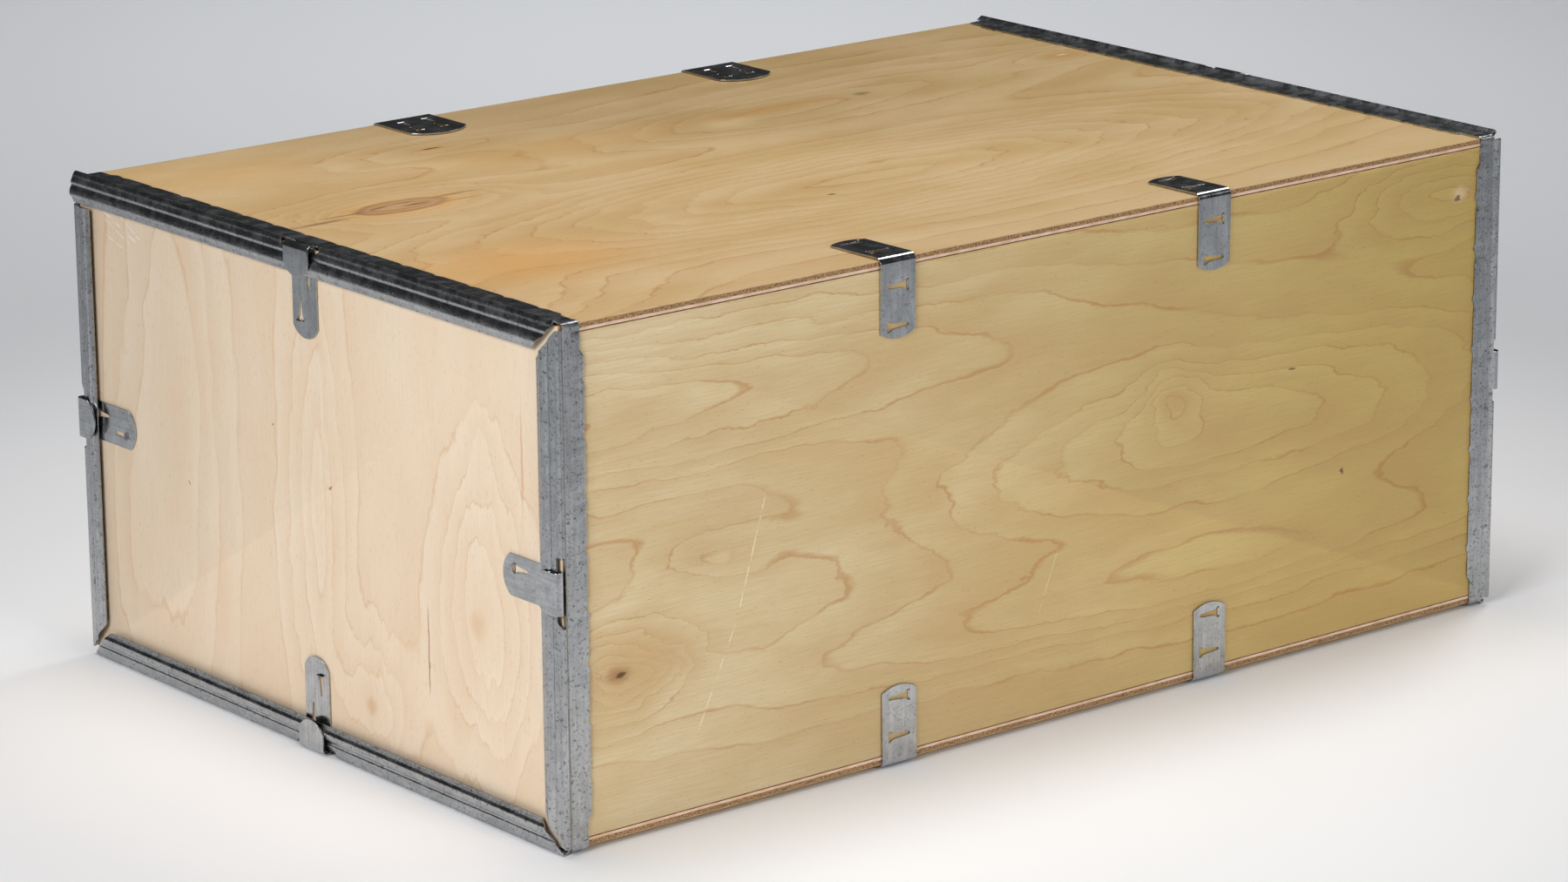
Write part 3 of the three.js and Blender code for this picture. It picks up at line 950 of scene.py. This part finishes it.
back_hills = [
    (300, 70, 380, 36, 1.0), (-120, 140, 220, 40, 1.0), (-40, 60, 60, 24, 0.5), (210, 190, 180, 30, 0.7),
]
far_end_hills = [
    (110, 60, 110, 40, 1.0), (140, -70, 150, 40, 0.9), (60, -150, 60, 26, 0.5), (190, 160, 90, 30, 0.5),
]
floor_hills = [
    (-150, 40, 260, 60, 1.2), (200, -90, 200, 50, 1.0), (120, 130, 160, 44, 0.7),
]

front_face = veneer("front_birch", FRONT_AXES, front_tones, front_hills, 7.4, 0.35, front_marks,
                    front_scratches, line_strength=0.62)
left_face = veneer("left_end_birch", END_AXES, end_tones, end_hills, 4.4, 0.4, end_marks, end_scratches,
                   line_strength=0.42, seed=2.3)
lid_face = veneer("lid_birch", LID_AXES, lid_tones, lid_hills, 8.5, 0.3, lid_marks,
                  line_strength=0.5, seed=4.9)
back_face = veneer("back_birch", FRONT_AXES, front_tones, back_hills, 5.0, 0.3, seed=7.7)
right_face = veneer("right_end_birch", END_AXES, end_tones, far_end_hills, 4.0, 0.35,
                    line_strength=0.42, seed=9.2)
floor_face = veneer("floor_birch", LID_AXES, lid_tones, floor_hills, 6.0, 0.3,
                    line_strength=0.5, seed=12.6)

edge_looks = {(through, flipped): ply_edge(f"ply_edge_{through}_{int(flipped)}", through, flipped)
              for through in (X, Y, Z) for flipped in (False, True)}

# For each way that the steel was rolled.
rim_steel = {
    axis: galvanised(f"rim_zinc_{axis}", axis, 1.0, (188, 190, 192), 0.19, 0.5) for axis in (Y, Z)
}
strap_steel = {
    axis: galvanised(f"strap_zinc_{axis}", axis, 0.3, (198, 200, 202), 0.13, 0.2) for axis in (Y, Z)
}


# ---------------------------------------------------------------- the crate

def dress(piece, material):
    piece.data.materials.clear()
    piece.data.materials.append(material)


PANELS = [
    ("lid_panel", Z, False, "lid", lid_face, "lid_plywood"),
    ("bottom_panel", Z, True, "base", floor_face, "lid_plywood"),
    ("front_panel", Y, True, "front_wall", front_face, "wall_plywood"),
    ("back_panel", Y, False, "back_wall", back_face, "wall_plywood"),
    ("left_end_panel", X, True, "base", left_face, "end_plywood"),
    ("right_end_panel", X, False, "base", right_face, "end_plywood"),
]
for node, through, flipped, body, face, slot_name in PANELS:
    panel = plywood_panel(node, through, flipped, body, face, edge_looks[(through, flipped)])

for end in ("left", "right"):
    for side in ("top", "front", "bottom", "back"):
        level = side in ("top", "bottom")
        dress(rim_rail(end, side), rim_steel[Y if level else Z])
        dress(tongue_strap(end, side), strap_steel[Z if level else Y])
    for edge_name in EDGE_BODIES:
        dress(flange_corner(end, edge_name), rim_steel[Y])

for side in ("left", "right"):
    for edge_name in EDGE_BODIES:
        dress(edge_strap(edge_name, side), strap_steel[Z])
    dress(closing_plate(side), strap_steel[Z])


# ---------------------------------------------------------------- studio

# Each light's name, its place, its target and its size in metres, its power in watts, and its spread.
CRATE = (0, 0, MIDDLE_Z * MM)
LIGHTS = [
    ("key", (1.3, 0.2, 1.9), CRATE, 0.6, 12),
    ("low_front", (-0.2, -2.4, 1.0), CRATE, 0.9, 17),
    ("left_fill", (-2.1, -0.8, 1.1), CRATE, 1.0, 35),
    ("overhead", (-0.3, 0.2, 2.3), CRATE, 1.0, 19),
    ("right_fill", (2.3, -1.3, 1.2), CRATE, 0.9, 6),
    ("back_floor", (1.0, 1.5, 1.9), (1.0, 1.5, 0), 1.2, 5.5, 80),
]
AIR_STRENGTH = 0.04


def studio_floor():
    """A pale floor that reaches far behind the crate, with painted shade: greyer away from it and darker
    towards the camera, where the light falls off.
    """
    half = 6000
    corners = [(-half, -half, 0), (half, -half, 0), (half, half, 0), (-half, half, 0)]
    floor = mesh_of("studio_floor", corners, [(0, 1, 2, 3)])
    surface = Surface("studio_paper_painted_shade")
    mottle = surface.noise((400, 400, 400), 1.0, detail=2)
    near = mottle.map(0.3, 0.7).mix(srgb(243, 243, 245), srgb(247, 247, 248))
    away = surface.place.vector("LENGTH")
    painted_shade_toward_camera = surface.place.vector("DOT_PRODUCT", (-0.63, -0.78, 0))
    # Painted shade: the colour greys with distance from the crate and darkens towards the camera, standing
    # in for the light falling off.
    shade = away.map(330, 850).mix(near, srgb(206, 208, 211))
    shade = painted_shade_toward_camera.map(380, 1500).mix(shade, srgb(150, 152, 156))
    surface.set(Base_Color=shade, Roughness=0.8)
    floor.data.materials.append(surface.material)


def soft_light(name, place, aim, size, power, spread=180):
    """A square soft light at `place`, facing `aim`, both in metres."""
    light = bpy.data.lights.new(name, "AREA")
    light.shape = "SQUARE"
    light.size = size
    light.energy = power
    light.spread = math.radians(spread)
    lamp = bpy.data.objects.new(name, light)
    bpy.context.scene.collection.objects.link(lamp)
    lamp.location = place
    lamp.rotation_euler = (Vector(aim) - lamp.location).to_track_quat("-Z", "Y").to_euler()


def studio_air():
    """Even grey air."""
    world = bpy.data.worlds.new("studio_air")
    world.use_nodes = True
    tree = world.node_tree
    sky = tree.nodes["Background"]
    sky.inputs["Color"].default_value = (0.97, 0.98, 1, 1)
    sky.inputs["Strength"].default_value = AIR_STRENGTH
    bpy.context.scene.world = world


# The camera's turn, rise and roll in degrees, its lens and sensor in millimetres, and its place from
# the crate's middle in metres: to the right, up and back.
CAMERA_ANGLES = (-38.88, 15.63, -0.51)
CAMERA_LENS, CAMERA_SENSOR = 126.3, 36
CAMERA_RIGHT, CAMERA_UP, CAMERA_BACK = -0.0063, -0.0246, 2.774


def camera():
    """A long lens looking down on the near corner from the left."""
    azimuth, rise, roll = (math.radians(a) for a in CAMERA_ANGLES)
    back = Vector((math.sin(azimuth) * math.cos(rise), -math.cos(azimuth) * math.cos(rise), math.sin(rise)))
    level = Vector((math.cos(azimuth), math.sin(azimuth), 0))
    up = back.cross(level)
    right = level * math.cos(roll) + up * math.sin(roll)
    up = up * math.cos(roll) - level * math.sin(roll)
    data = bpy.data.cameras.new("camera")
    data.sensor_width = CAMERA_SENSOR
    data.lens = CAMERA_LENS
    data.clip_start, data.clip_end = 0.05, 60
    camera_object = bpy.data.objects.new("camera", data)
    bpy.context.scene.collection.objects.link(camera_object)
    place = Vector(CRATE) + right * CAMERA_RIGHT + up * CAMERA_UP + back * CAMERA_BACK
    axes = Matrix((right, up, back)).transposed()
    camera_object.matrix_world = Matrix.Translation(place) @ axes.to_4x4()
    bpy.context.scene.camera = camera_object


studio_floor()
studio_air()
for light in LIGHTS:
    soft_light(*light)
camera()
bpy.context.scene.view_settings.view_transform = "Standard"
